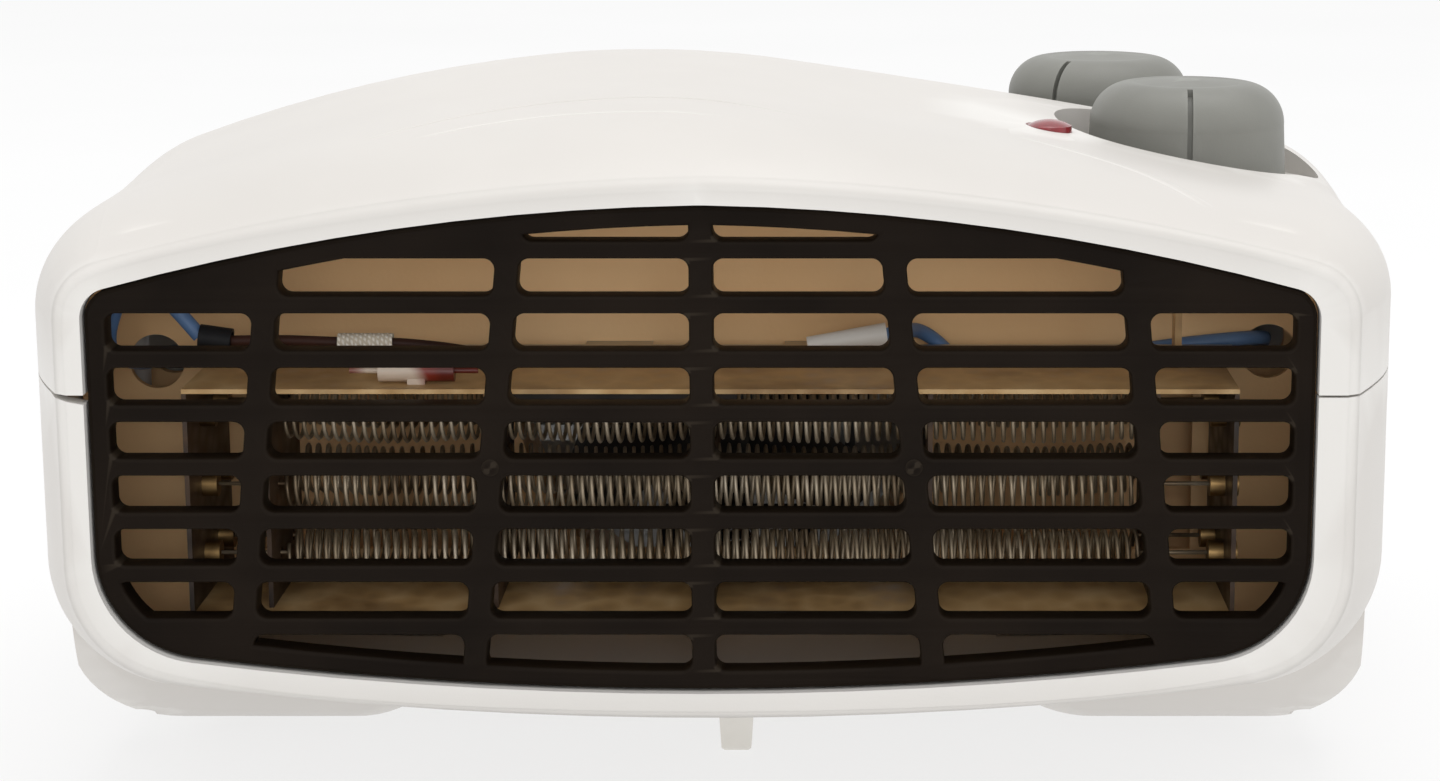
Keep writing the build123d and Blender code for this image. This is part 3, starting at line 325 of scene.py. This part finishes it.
def make_looks():
    """One material for each of the record's slots."""
    satin = {"Specular IOR Level": 0.5}
    dull = {"Specular IOR Level": 0.18}
    # lighter than the casing's own white: painted highlight on the casing's convex edges
    white_edge_highlight = srgb(226, 224, 220)
    steel = (srgb(150, 150, 146), srgb(196, 196, 192))
    return {
        "casing_white": moulded("white_casing", srgb(201, 197, 192), srgb(207, 203, 198), 14.0, (0.34, 0.46),
                                2600.0, 0.000012, satin, white_edge_highlight),
        "grille_black": moulded("black_grille", srgb(18, 12, 7), srgb(26, 19, 13), 40.0, (0.42, 0.60),
                                3200.0, 0.00003, {"Specular IOR Level": 0.06}, srgb(50, 43, 35)),
        "knob_grey": moulded("grey_knob", srgb(118, 118, 112), srgb(127, 127, 121), 55.0, (0.40, 0.55),
                             3000.0, 0.00002, {"Specular IOR Level": 0.4}, srgb(142, 143, 136)),
        "lamp_red": lamp_look(),
        "lamp_glass": glass_look(),
        "zinc_steel": metal("zinc_plate", *steel, 60.0, (0.26, 0.46), (1.0, 12.0, 12.0), 0.00002),
        "switch_black": moulded("switch_case", srgb(24, 24, 26), srgb(34, 34, 36), 120.0, (0.45, 0.62),
                                2400.0, 0.00003, dull),
        "ceramic_white": moulded("steatite", srgb(206, 200, 186), srgb(226, 221, 208), 90.0, (0.55, 0.75),
                                 1600.0, 0.00005),
        "bimetal": metal("bimetal_leaf", srgb(150, 122, 88), srgb(196, 176, 148), 90.0, (0.30, 0.45),
                         (12.0, 1.0, 12.0), 0.00001),
        "mica": mica_look("mica_board", (srgb(168, 132, 84), srgb(190, 154, 104), srgb(208, 176, 128)),
                          srgb(96, 68, 42), 0.52),
        # darker copy of the mica board, with its own scorched patches on top: painted shade for the
        # element's uprights and combs
        "mica_shaded": mica_look("shaded_mica", (srgb(46, 32, 22), srgb(62, 44, 30), srgb(84, 62, 42)),
                                srgb(24, 17, 13), 0.42),
        "heating_wire": wire_look(),
        "brass": metal("dull_brass", srgb(104, 80, 52), srgb(168, 138, 92), 160.0, (0.30, 0.50),
                       (1.0, 1.0, 1.0), 0.00002),
        "cutout_black": moulded("cutout_case", srgb(20, 16, 13), srgb(36, 28, 22), 200.0, (0.5, 0.7),
                                1800.0, 0.00005, dull),
        "fuse_red": fuse_look(),
        "glass_fibre": woven_look(),
        "nylon_white": moulded("nylon", srgb(214, 211, 204), srgb(226, 223, 217), 60.0, (0.36, 0.50),
                               2200.0, 0.00002, satin),
        "shroud_beige": moulded("shroud_board", srgb(238, 194, 142), srgb(246, 206, 156), 22.0, (0.62, 0.80),
                                1400.0, 0.00004, dull),
        "fan_plastic": moulded("fan_moulding", srgb(50, 48, 46), srgb(64, 62, 60), 60.0, (0.35, 0.5),
                               2400.0, 0.00002, satin, srgb(96, 94, 90)),
        "rotor_steel": banded_look("laminated_steel", srgb(92, 92, 94), srgb(140, 140, 142), 300.0, "Y",
                                   0.00006, {"Metallic": 0.9}),
        "copper": banded_look("enamelled_copper", srgb(120, 56, 26), srgb(202, 116, 66), 260.0, "X",
                              0.00020, {"Metallic": 0.8, "Coat Weight": 0.5}),
        "bronze": metal("sintered_bronze", srgb(120, 84, 46), srgb(166, 124, 76), 220.0, (0.42, 0.62),
                        (1.0, 1.0, 1.0), 0.00004),
        "spring_steel": metal("spring_wire", srgb(170, 170, 172), srgb(214, 214, 216), 200.0, (0.14, 0.28),
                              (1.0, 1.0, 6.0), 0.00001),
        "rubber_black": moulded("rubber", srgb(24, 24, 24), srgb(36, 35, 34), 80.0, (0.68, 0.88),
                                1500.0, 0.00006, dull),
        "lead_blue": moulded("blue_insulation", srgb(70, 104, 150), srgb(104, 134, 172), 70.0, (0.38, 0.55),
                             1400.0, 0.00003, satin),
        "lead_brown": moulded("brown_insulation", srgb(44, 26, 20), srgb(66, 40, 32), 90.0, (0.42, 0.6),
                              1400.0, 0.00003, dull),
    }


def dress_nodes():
    """Give every CAD node its look; the uprights and combs of the element get a darker copy of the mica,
    which is painted shade.
    """
    for node in NODES.values():
        for slot in node.material_slots:
            slot.material = LOOKS[slot.material.name.split(".")[0]]
    # the uprights and combs take the darker copy of the mica: painted shade
    for name in ("mica_end_left", "mica_end_right", "mica_combs"):
        NODES[name].material_slots[0].material = LOOKS["mica_shaded"]


# ---------------------------------------------------------------- pieces
def add_piece(name, mesh, body, slot, replaced=()):
    """A new mesh object in the record's slot, riding on a body."""
    piece = bpy.data.objects.new(name, mesh)
    SCENE.collection.objects.link(piece)
    piece.data.materials.clear()
    piece.data.materials.append(LOOKS[slot])
    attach(piece, body)
    if replaced:
        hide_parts(*replaced)


MERGE = 1e-6                 # vertices nearer than this are one
FLATNESS = 2e-5              # a face lies at a depth when its corners are nearer to it than this
FRONT_FACING = 0.999         # Y part of a flat front or back face's normal


def smooth(mesh, angle=None):
    """Shade smooth, with edges over the angle kept crisp."""
    for polygon in mesh.polygons:
        polygon.use_smooth = True
    if angle:
        mesh.set_sharp_from_angle(angle=math.radians(angle))


def outward(mesh):
    """Turn the faces of closed parts to the outside."""
    form = bmesh.new()
    form.from_mesh(mesh)
    bmesh.ops.recalc_face_normals(form, faces=form.faces)
    form.to_mesh(mesh)
    form.free()


def flat_loops(mesh, depth):
    """Boundary loops, as (x, z) lists, of the mesh's flat region at y = depth."""
    form = bmesh.new()
    form.from_mesh(mesh)
    bmesh.ops.remove_doubles(form, verts=form.verts, dist=MERGE)
    flat = {face for face in form.faces if all(abs(v.co.y - depth) < FLATNESS for v in face.verts)}
    rim = dict.fromkeys(e for e in form.edges if sum(face in flat for face in e.link_faces) == 1)
    loops = []
    while rim:
        edge = next(iter(rim))
        del rim[edge]
        start, here = edge.verts
        loop = [start, here]
        while here != start:
            edge = next(e for e in here.link_edges if e in rim)
            del rim[edge]
            here = edge.other_vert(here)
            if here != start:
                loop.append(here)
        loops.append([(v.co.x, v.co.z) for v in loop])
    form.free()
    return loops


def moulded_plate(name, loops, middle_y, depth, edge):
    """Upright plate with the outline and openings of the loops and rolled edges all round."""
    curve = bpy.data.curves.new(name, "CURVE")
    curve.dimensions = "2D"
    curve.fill_mode = "BOTH"
    curve.extrude = depth / 2 - edge
    curve.bevel_depth = edge
    curve.bevel_resolution = 2
    curve.offset = -edge
    for loop in loops:
        spline = curve.splines.new("POLY")
        spline.points.add(len(loop) - 1)
        for point, (x, z) in zip(spline.points, loop):
            point.co = (x, z, 0.0, 1.0)
        spline.use_cyclic_u = True
    holder = bpy.data.objects.new(name, curve)
    SCENE.collection.objects.link(holder)
    evaluated = holder.evaluated_get(bpy.context.evaluated_depsgraph_get())
    mesh = bpy.data.meshes.new_from_object(evaluated)
    bpy.data.objects.remove(holder)
    bpy.data.curves.remove(curve)
    mesh.transform(Matrix.Translation((0, middle_y, 0)) @ Matrix.Rotation(math.radians(90), 4, "X"))
    form = bmesh.new()
    form.from_mesh(mesh)
    bmesh.ops.remove_doubles(form, verts=form.verts, dist=MERGE)
    bmesh.ops.recalc_face_normals(form, faces=form.faces)
    form.to_mesh(mesh)
    form.free()
    mesh.name = name
    smooth(mesh)
    normals = [vertex.normal.copy() for vertex in mesh.vertices]
    for polygon in mesh.polygons:
        if abs(polygon.normal.y) > FRONT_FACING:
            for index in polygon.vertices:
                normals[index] = Vector((0.0, math.copysign(1.0, polygon.normal.y), 0.0))
    mesh.normals_split_custom_set_from_vertices(normals)
    for polygon in mesh.polygons:
        polygon.use_smooth = abs(polygon.normal.y) < FRONT_FACING
    return mesh


def ring_quads(rings, around):
    """Faces between successive rings of vertices."""
    faces = []
    for ring in range(rings - 1):
        for k in range(around):
            a = ring * around + k
            b = ring * around + (k + 1) % around
            faces.append((a, b, b + around, a + around))
    return faces


def upright_ring(x, y, z, radius, around):
    """Points of a circle in the upright plane at depth y."""
    turns = [2 * math.pi * k / around for k in range(around)]
    return [(x + radius * math.cos(turn), y, z + radius * math.sin(turn)) for turn in turns]


def mesh_of(name, parts):
    """One mesh from several (vertices, faces) pairs."""
    vertices, faces = [], []
    for part_vertices, part_faces in parts:
        start = len(vertices)
        vertices += [tuple(v) for v in part_vertices]
        faces += [tuple(i + start for i in face) for face in part_faces]
    mesh = bpy.data.meshes.new(name)
    mesh.from_pydata(vertices, [], faces)
    mesh.validate()
    outward(mesh)
    smooth(mesh)
    return mesh


# ---------------------------------------------------------------- grilles
GRILLE_EDGE = 0.0007         # radius of the rolled edges
GRILLE_PIP = 0.0005          # by which the two pips stand in front of the plate
PIP_SPAN = 0.004             # a loop smaller than this is a pip, not an opening
PIP_ROOT = 0.0001            # by which a pip's rim sits in the plate
PIP_RINGS = 5
PIP_AROUND = 20


def span(loop):
    xs = [x for x, z in loop]
    return max(xs) - min(xs)


def dome(x, y, z, radius, height):
    """Low round cap on an upright face at depth y, bulging to the front."""
    vertices = []
    for ring in range(PIP_RINGS):
        turn = math.pi / 2 * ring / PIP_RINGS
        depth = y - height * math.sin(turn)
        vertices += upright_ring(x, depth, z, radius * math.cos(turn), PIP_AROUND)
    vertices.append((x, y - height, z))
    faces = ring_quads(PIP_RINGS, PIP_AROUND)
    top = (PIP_RINGS - 1) * PIP_AROUND
    tip = PIP_RINGS * PIP_AROUND
    faces += [(top + k, top + (k + 1) % PIP_AROUND, tip) for k in range(PIP_AROUND)]
    faces.append(tuple(reversed(range(PIP_AROUND))))
    return vertices, faces


def make_grilles():
    """Front and rear grilles with rolled edges, from the CAD plates' own outlines."""
    low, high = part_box("front_grille")
    front = low[1] + GRILLE_PIP
    loops = flat_loops(NODES["front_grille"].data, front)
    pips = [loop for loop in loops if span(loop) < PIP_SPAN]
    loops = [loop for loop in loops if span(loop) >= PIP_SPAN]
    depth = high[1] - front
    plate = moulded_plate("front_grille_moulding", loops, front + depth / 2, depth, GRILLE_EDGE)
    add_piece("front_grille_moulding", plate, "casing", "grille_black", ["front_grille"])
    low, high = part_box("rear_grille")
    loops = flat_loops(NODES["rear_grille"].data, high[1])
    depth = high[1] - low[1]
    plate = moulded_plate("rear_grille_moulding", loops, low[1] + depth / 2, depth, GRILLE_EDGE)
    add_piece("rear_grille_moulding", plate, "casing", "grille_black", ["rear_grille"])
    caps = []
    for loop in pips:
        x = sum(x for x, z in loop) / len(loop)
        z = sum(z for x, z in loop) / len(loop)
        caps.append(dome(x, front + PIP_ROOT, z, span(loop) / 2, GRILLE_PIP))
    add_piece("grille_pips", mesh_of("grille_pips", caps), "casing", "grille_black")


# ---------------------------------------------------------------- casing shells
RIM_DEPTH = 0.0017           # how far the rim's chamfer reaches back from the front
RIM_FACING = (0.4, 0.95)     # how much a face of the chamfer looks to the front
RIM_NEIGHBOUR = 0.5          # cosine of the widest angle between the chamfer and a face beside it


def round_rim(mesh, front):
    """Shade the chamfer at the front as a round that runs into the faces on its two sides."""
    least, most = RIM_FACING
    rim = [p for p in mesh.polygons if least < -p.normal.y < most
           and all(mesh.vertices[v].co.y < front + RIM_DEPTH for v in p.vertices)]
    in_rim = {index for p in rim for index in p.loop_indices}
    normals = [Vector(corner.vector) for corner in mesh.corner_normals]
    spots = [tuple(round(c, 6) for c in mesh.vertices[loop.vertex_index].co) for loop in mesh.loops]
    beside = {}
    for index, spot in enumerate(spots):
        if index not in in_rim:
            beside.setdefault(spot, []).append(normals[index].copy())
    for polygon in rim:
        for index in polygon.loop_indices:
            near = [n for n in beside.get(spots[index], []) if n.dot(polygon.normal) > RIM_NEIGHBOUR]
            if near:
                normals[index] = max(near, key=polygon.normal.dot)
    mesh.normals_split_custom_set(normals)


def make_shells():
    """Casing shells as in the CAD, with their front rims shaded round."""
    for node, name in (("upper_casing", "upper_shell"), ("lower_casing", "lower_shell")):
        mesh = NODES[node].data.copy()
        mesh.name = name
        round_rim(mesh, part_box(node)[0][1])
        add_piece(name, mesh, "casing", "casing_white", [node])


# ---------------------------------------------------------------- heating coils
COIL_HALF = 0.075
COIL_PITCH = 0.0017
WIRE_R = 0.00036
WIRE_SIDES = 6
TURN_STEPS = 14
COIL_SUPPORTS = (-0.0764, -0.0375, 0.0, 0.0375, 0.0764)
COIL_SAG = 0.0007
COIL_LEAD = 0.003            # straight stretch between the tail and the first turn
COIL_GROWTH = 0.75           # turns over which the first and last turn open out
COIL_EASE = 12               # one over the share of the coil, at each end, that keeps its place
CROWDING = 0.0011            # most by which a turn is pushed along
CROWDING_WAVES = 90.0
CROWDING_SHIFT = 3.7         # sets each coil's crowding apart from the next one's


def sweep_tube(rows, sides):
    """Vertices and faces of a tube along a list of (point, radius)."""
    vertices = []
    up = Vector((0.0, 0.0, 1.0))
    for index, (point, radius) in enumerate(rows):
        before = rows[max(index - 1, 0)][0]
        after = rows[min(index + 1, len(rows) - 1)][0]
        along = (after - before).normalized()
        across = (up - along * up.dot(along)).normalized()
        up = across
        other = along.cross(across)
        for side in range(sides):
            turn = 2 * math.pi * side / sides
            vertices.append(point + (across * math.cos(turn) + other * math.sin(turn)) * radius)
    faces = ring_quads(len(rows), sides)
    faces.append(tuple(reversed(range(sides))))
    last = (len(rows) - 1) * sides
    faces.append(tuple(range(last, last + sides)))
    return vertices, faces


def coil_rows(y, z, coil_r, tail_x, seed):
    """Path of one coil: straight tail, turns that crowd and sag a little, straight tail."""
    turns = round(2 * COIL_HALF / COIL_PITCH)
    steps = turns * TURN_STEPS
    growth = TURN_STEPS * COIL_GROWTH
    rows = [(Vector((-tail_x, y, z)), WIRE_R), (Vector((-COIL_HALF - COIL_LEAD, y, z)), WIRE_R)]
    for step in range(steps + 1):
        t = step / steps
        x = -COIL_HALF + 2 * COIL_HALF * t
        ends = min(1.0, COIL_EASE * t, COIL_EASE * (1 - t))
        x += CROWDING * ends * noise.noise(Vector((x * CROWDING_WAVES, seed * CROWDING_SHIFT, 0.5)))
        left = max(s for s in COIL_SUPPORTS if s <= x)
        right = min(s for s in COIL_SUPPORTS if s > x)
        sag = COIL_SAG * ends * math.sin(math.pi * (x - left) / (right - left)) ** 2
        grow = min(1.0, step / growth, (steps - step) / growth)
        angle = 2 * math.pi * turns * t
        r = (coil_r - WIRE_R) * grow
        rows.append((Vector((x, y + r * math.cos(angle), z - sag + r * math.sin(angle))), WIRE_R))
    rows.append((Vector((COIL_HALF + COIL_LEAD, y, z)), WIRE_R))
    rows.append((Vector((tail_x, y, z)), WIRE_R))
    return rows


def make_coils():
    """Wound resistance coils in place of the plain sleeves."""
    for layer, node in enumerate(("front_coils", "rear_coils")):
        low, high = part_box(node)
        coil_r = (high[1] - low[1]) / 2
        y = (low[1] + high[1]) / 2
        heights = (low[2] + coil_r, (low[2] + high[2]) / 2, high[2] - coil_r)
        parts = []
        for row, z in enumerate(heights):
            path = coil_rows(y, z, coil_r, high[0], layer * len(heights) + row)
            parts.append(sweep_tube(path, WIRE_SIDES))
        name = node.replace("coils", "coil_windings")
        add_piece(name, mesh_of(name, parts), "casing", "heating_wire", [node])


# ---------------------------------------------------------------- lines on the casing
RIB_STEPS = 72
RIB_ROOT = 0.00003           # how far the ends sink into the shell
RIB_FADE = 5                 # one over the share of the line, at each end, that tapers
RIBS = {                     # start, pull and end of each line in plan; width and height
    "dome_rib_outer": ((-0.065, -0.0700), (-0.0255, -0.0397), (0.020, -0.0665), 0.0014, 0.00018),
    "dome_rib_inner": ((-0.053, -0.0735), (-0.0280, -0.0614), (0.005, -0.0725), 0.0012, 0.00016),
    "panel_ridge": ((0.052, -0.0480), (0.0695, -0.0650), (0.0855, -0.0890), 0.0034, 0.00014),
}
RIB_SECTION = ((-0.5, -0.4), (-0.25, 0.75), (0.0, 1.0), (0.25, 0.75), (0.5, -0.4))
ABOVE_CASING = 0.3


def casing_surface():
    """Search tree of the upper shell's skin."""
    mesh = NODES["upper_casing"].data
    places = [v.co for v in mesh.vertices]
    return BVHTree.FromPolygons(places, [tuple(p.vertices) for p in mesh.polygons])


def rib_vertices(skin, start, pull, end, width, height):
    """Cross sections of a low line laid on the skin, along a curve in plan."""
    start, pull, end = Vector(start), Vector(pull), Vector(end)
    vertices = []
    for step in range(RIB_STEPS + 1):
        t = step / RIB_STEPS
        fade = min(1.0, RIB_FADE * t, RIB_FADE * (1 - t))
        middle = start * (1 - t) ** 2 + pull * 2 * t * (1 - t) + end * t * t
        along = ((pull - start) * (1 - t) + (end - pull) * t).normalized()
        across = Vector((-along.y, along.x))
        for offset, rise in RIB_SECTION:
            spot = middle + across * offset * width
            hit = skin.ray_cast(Vector((spot.x, spot.y, ABOVE_CASING)), Vector((0, 0, -1)))[0]
            vertices.append(hit + Vector((0, 0, rise * height * fade - RIB_ROOT)))
    return vertices


def rib_faces():
    """Faces between the cross sections, the underside and the two ends."""
    columns = len(RIB_SECTION)
    faces = []
    for row in range(RIB_STEPS):
        first = row * columns
        for column in range(columns - 1):
            a = first + column
            faces.append((a, a + columns, a + columns + 1, a + 1))
        faces.append((first, first + columns - 1, first + 2 * columns - 1, first + columns))
    faces.append(tuple(range(columns)))
    faces.append(tuple(reversed(range(RIB_STEPS * columns, (RIB_STEPS + 1) * columns))))
    return faces


def make_ribs():
    """Low ribs moulded on the upper shell, tapering out at their ends."""
    skin = casing_surface()
    for name, line in RIBS.items():
        mesh = mesh_of(name, [(rib_vertices(skin, *line), rib_faces())])
        add_piece(name, mesh, "casing", "casing_white")


# ---------------------------------------------------------------- fan
FAN_BLADES = 7
BLADE_SPANS = 10
BLADE_CHORDS = 8
BLADE_T = 0.0007             # half the blade's thickness at mid-chord
BLADE_ROOT = 0.0008          # by which a blade reaches into the hub
BLADE_PITCH = (48, 22)       # degrees at the root, and how much less at the tip
BLADE_CHORD = (0.0145, 0.0085)
BLADE_CAMBER = 0.0016
BLADE_SWEEP = 0.28
TIP_GAP = 0.0004
HUB_R = 0.0100
HUB_AROUND = 48
HUB_PROFILE = (              # radius and depth, as shares of HUB_R and of half the wheel's depth
    (0.45, -1.0), (0.85, -0.88), (1.0, -0.6), (1.0, 0.6), (0.94, 0.92), (0.8, 1.0), (0.24, 1.0))
FAN_SHARP = 40               # degrees above which an edge stays crisp


def blade_vertices(middle, base, tip):
    """The two skins of one cambered, twisted blade."""
    vertices = []
    for side in (1, -1):
        for i in range(BLADE_SPANS + 1):
            s = i / BLADE_SPANS
            r = HUB_R - BLADE_ROOT + (tip - HUB_R + BLADE_ROOT) * s
            pitch = math.radians(BLADE_PITCH[0] - BLADE_PITCH[1] * s)
            bulge = math.sin(math.pi * min(1.0, 0.25 + s * 0.72))
            chord = BLADE_CHORD[0] + BLADE_CHORD[1] * bulge
            for j in range(BLADE_CHORDS + 1):
                c = j / BLADE_CHORDS - 0.5
                camber = BLADE_CAMBER * (1 - 4 * c * c)
                thick = side * BLADE_T * (1 - 3.6 * c * c)
                sweep = base + BLADE_SWEEP * s * s + c * chord * math.cos(pitch) / r
                y = middle[1] - c * chord * math.sin(pitch) + camber + thick
                vertices.append((middle[0] + r * math.cos(sweep), y, middle[2] + r * math.sin(sweep)))
    return vertices


def blade_faces():
    """Faces of both skins and of the edge between them."""
    spans, chords = BLADE_SPANS, BLADE_CHORDS
    width = chords + 1
    layer = (spans + 1) * width
    faces = []
    for i in range(spans):
        for j in range(chords):
            a = i * width + j
            faces.append((a, a + 1, a + width + 1, a + width))
            faces.append((a + layer, a + layer + width, a + layer + width + 1, a + layer + 1))
    edge = [i * width for i in range(spans + 1)]
    edge += [spans * width + j for j in range(1, width)]
    edge += [i * width + chords for i in range(spans - 1, -1, -1)]
    edge += list(range(chords - 1, 0, -1))
    faces += [(a, a + layer, b + layer, b) for a, b in zip(edge, edge[1:] + edge[:1])]
    return faces


def hub(middle, half_depth):
    """Turned hub from its profile, closed at both ends."""
    vertices = []
    for radius, depth in HUB_PROFILE:
        y = middle[1] + half_depth * depth
        vertices += upright_ring(middle[0], y, middle[2], HUB_R * radius, HUB_AROUND)
    faces = ring_quads(len(HUB_PROFILE), HUB_AROUND)
    faces.append(tuple(range(HUB_AROUND)))
    last = (len(HUB_PROFILE) - 1) * HUB_AROUND
    faces.append(tuple(reversed(range(last, last + HUB_AROUND))))
    return vertices, faces


def make_fan():
    """Moulded impeller: rounded hub and seven blades."""
    low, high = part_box("fan_impeller")
    middle = [(a + b) / 2 for a, b in zip(low, high)]
    tip = (high[0] - low[0]) / 2 - TIP_GAP
    parts = []
    for blade in range(FAN_BLADES):
        base = 2 * math.pi * blade / FAN_BLADES
        parts.append((blade_vertices(middle, base, tip), blade_faces()))
    parts.append(hub(middle, (high[1] - low[1]) / 2))
    mesh = mesh_of("fan_wheel", parts)
    smooth(mesh, FAN_SHARP)
    add_piece("fan_wheel", mesh, "fan", "fan_plastic", ["fan_impeller"])


# ---------------------------------------------------------------- the model
LOOKS = make_looks()
make_camera()
make_lights()
make_floor()
dress_nodes()
make_grilles()
make_coils()
make_shells()
make_ribs()
make_fan()
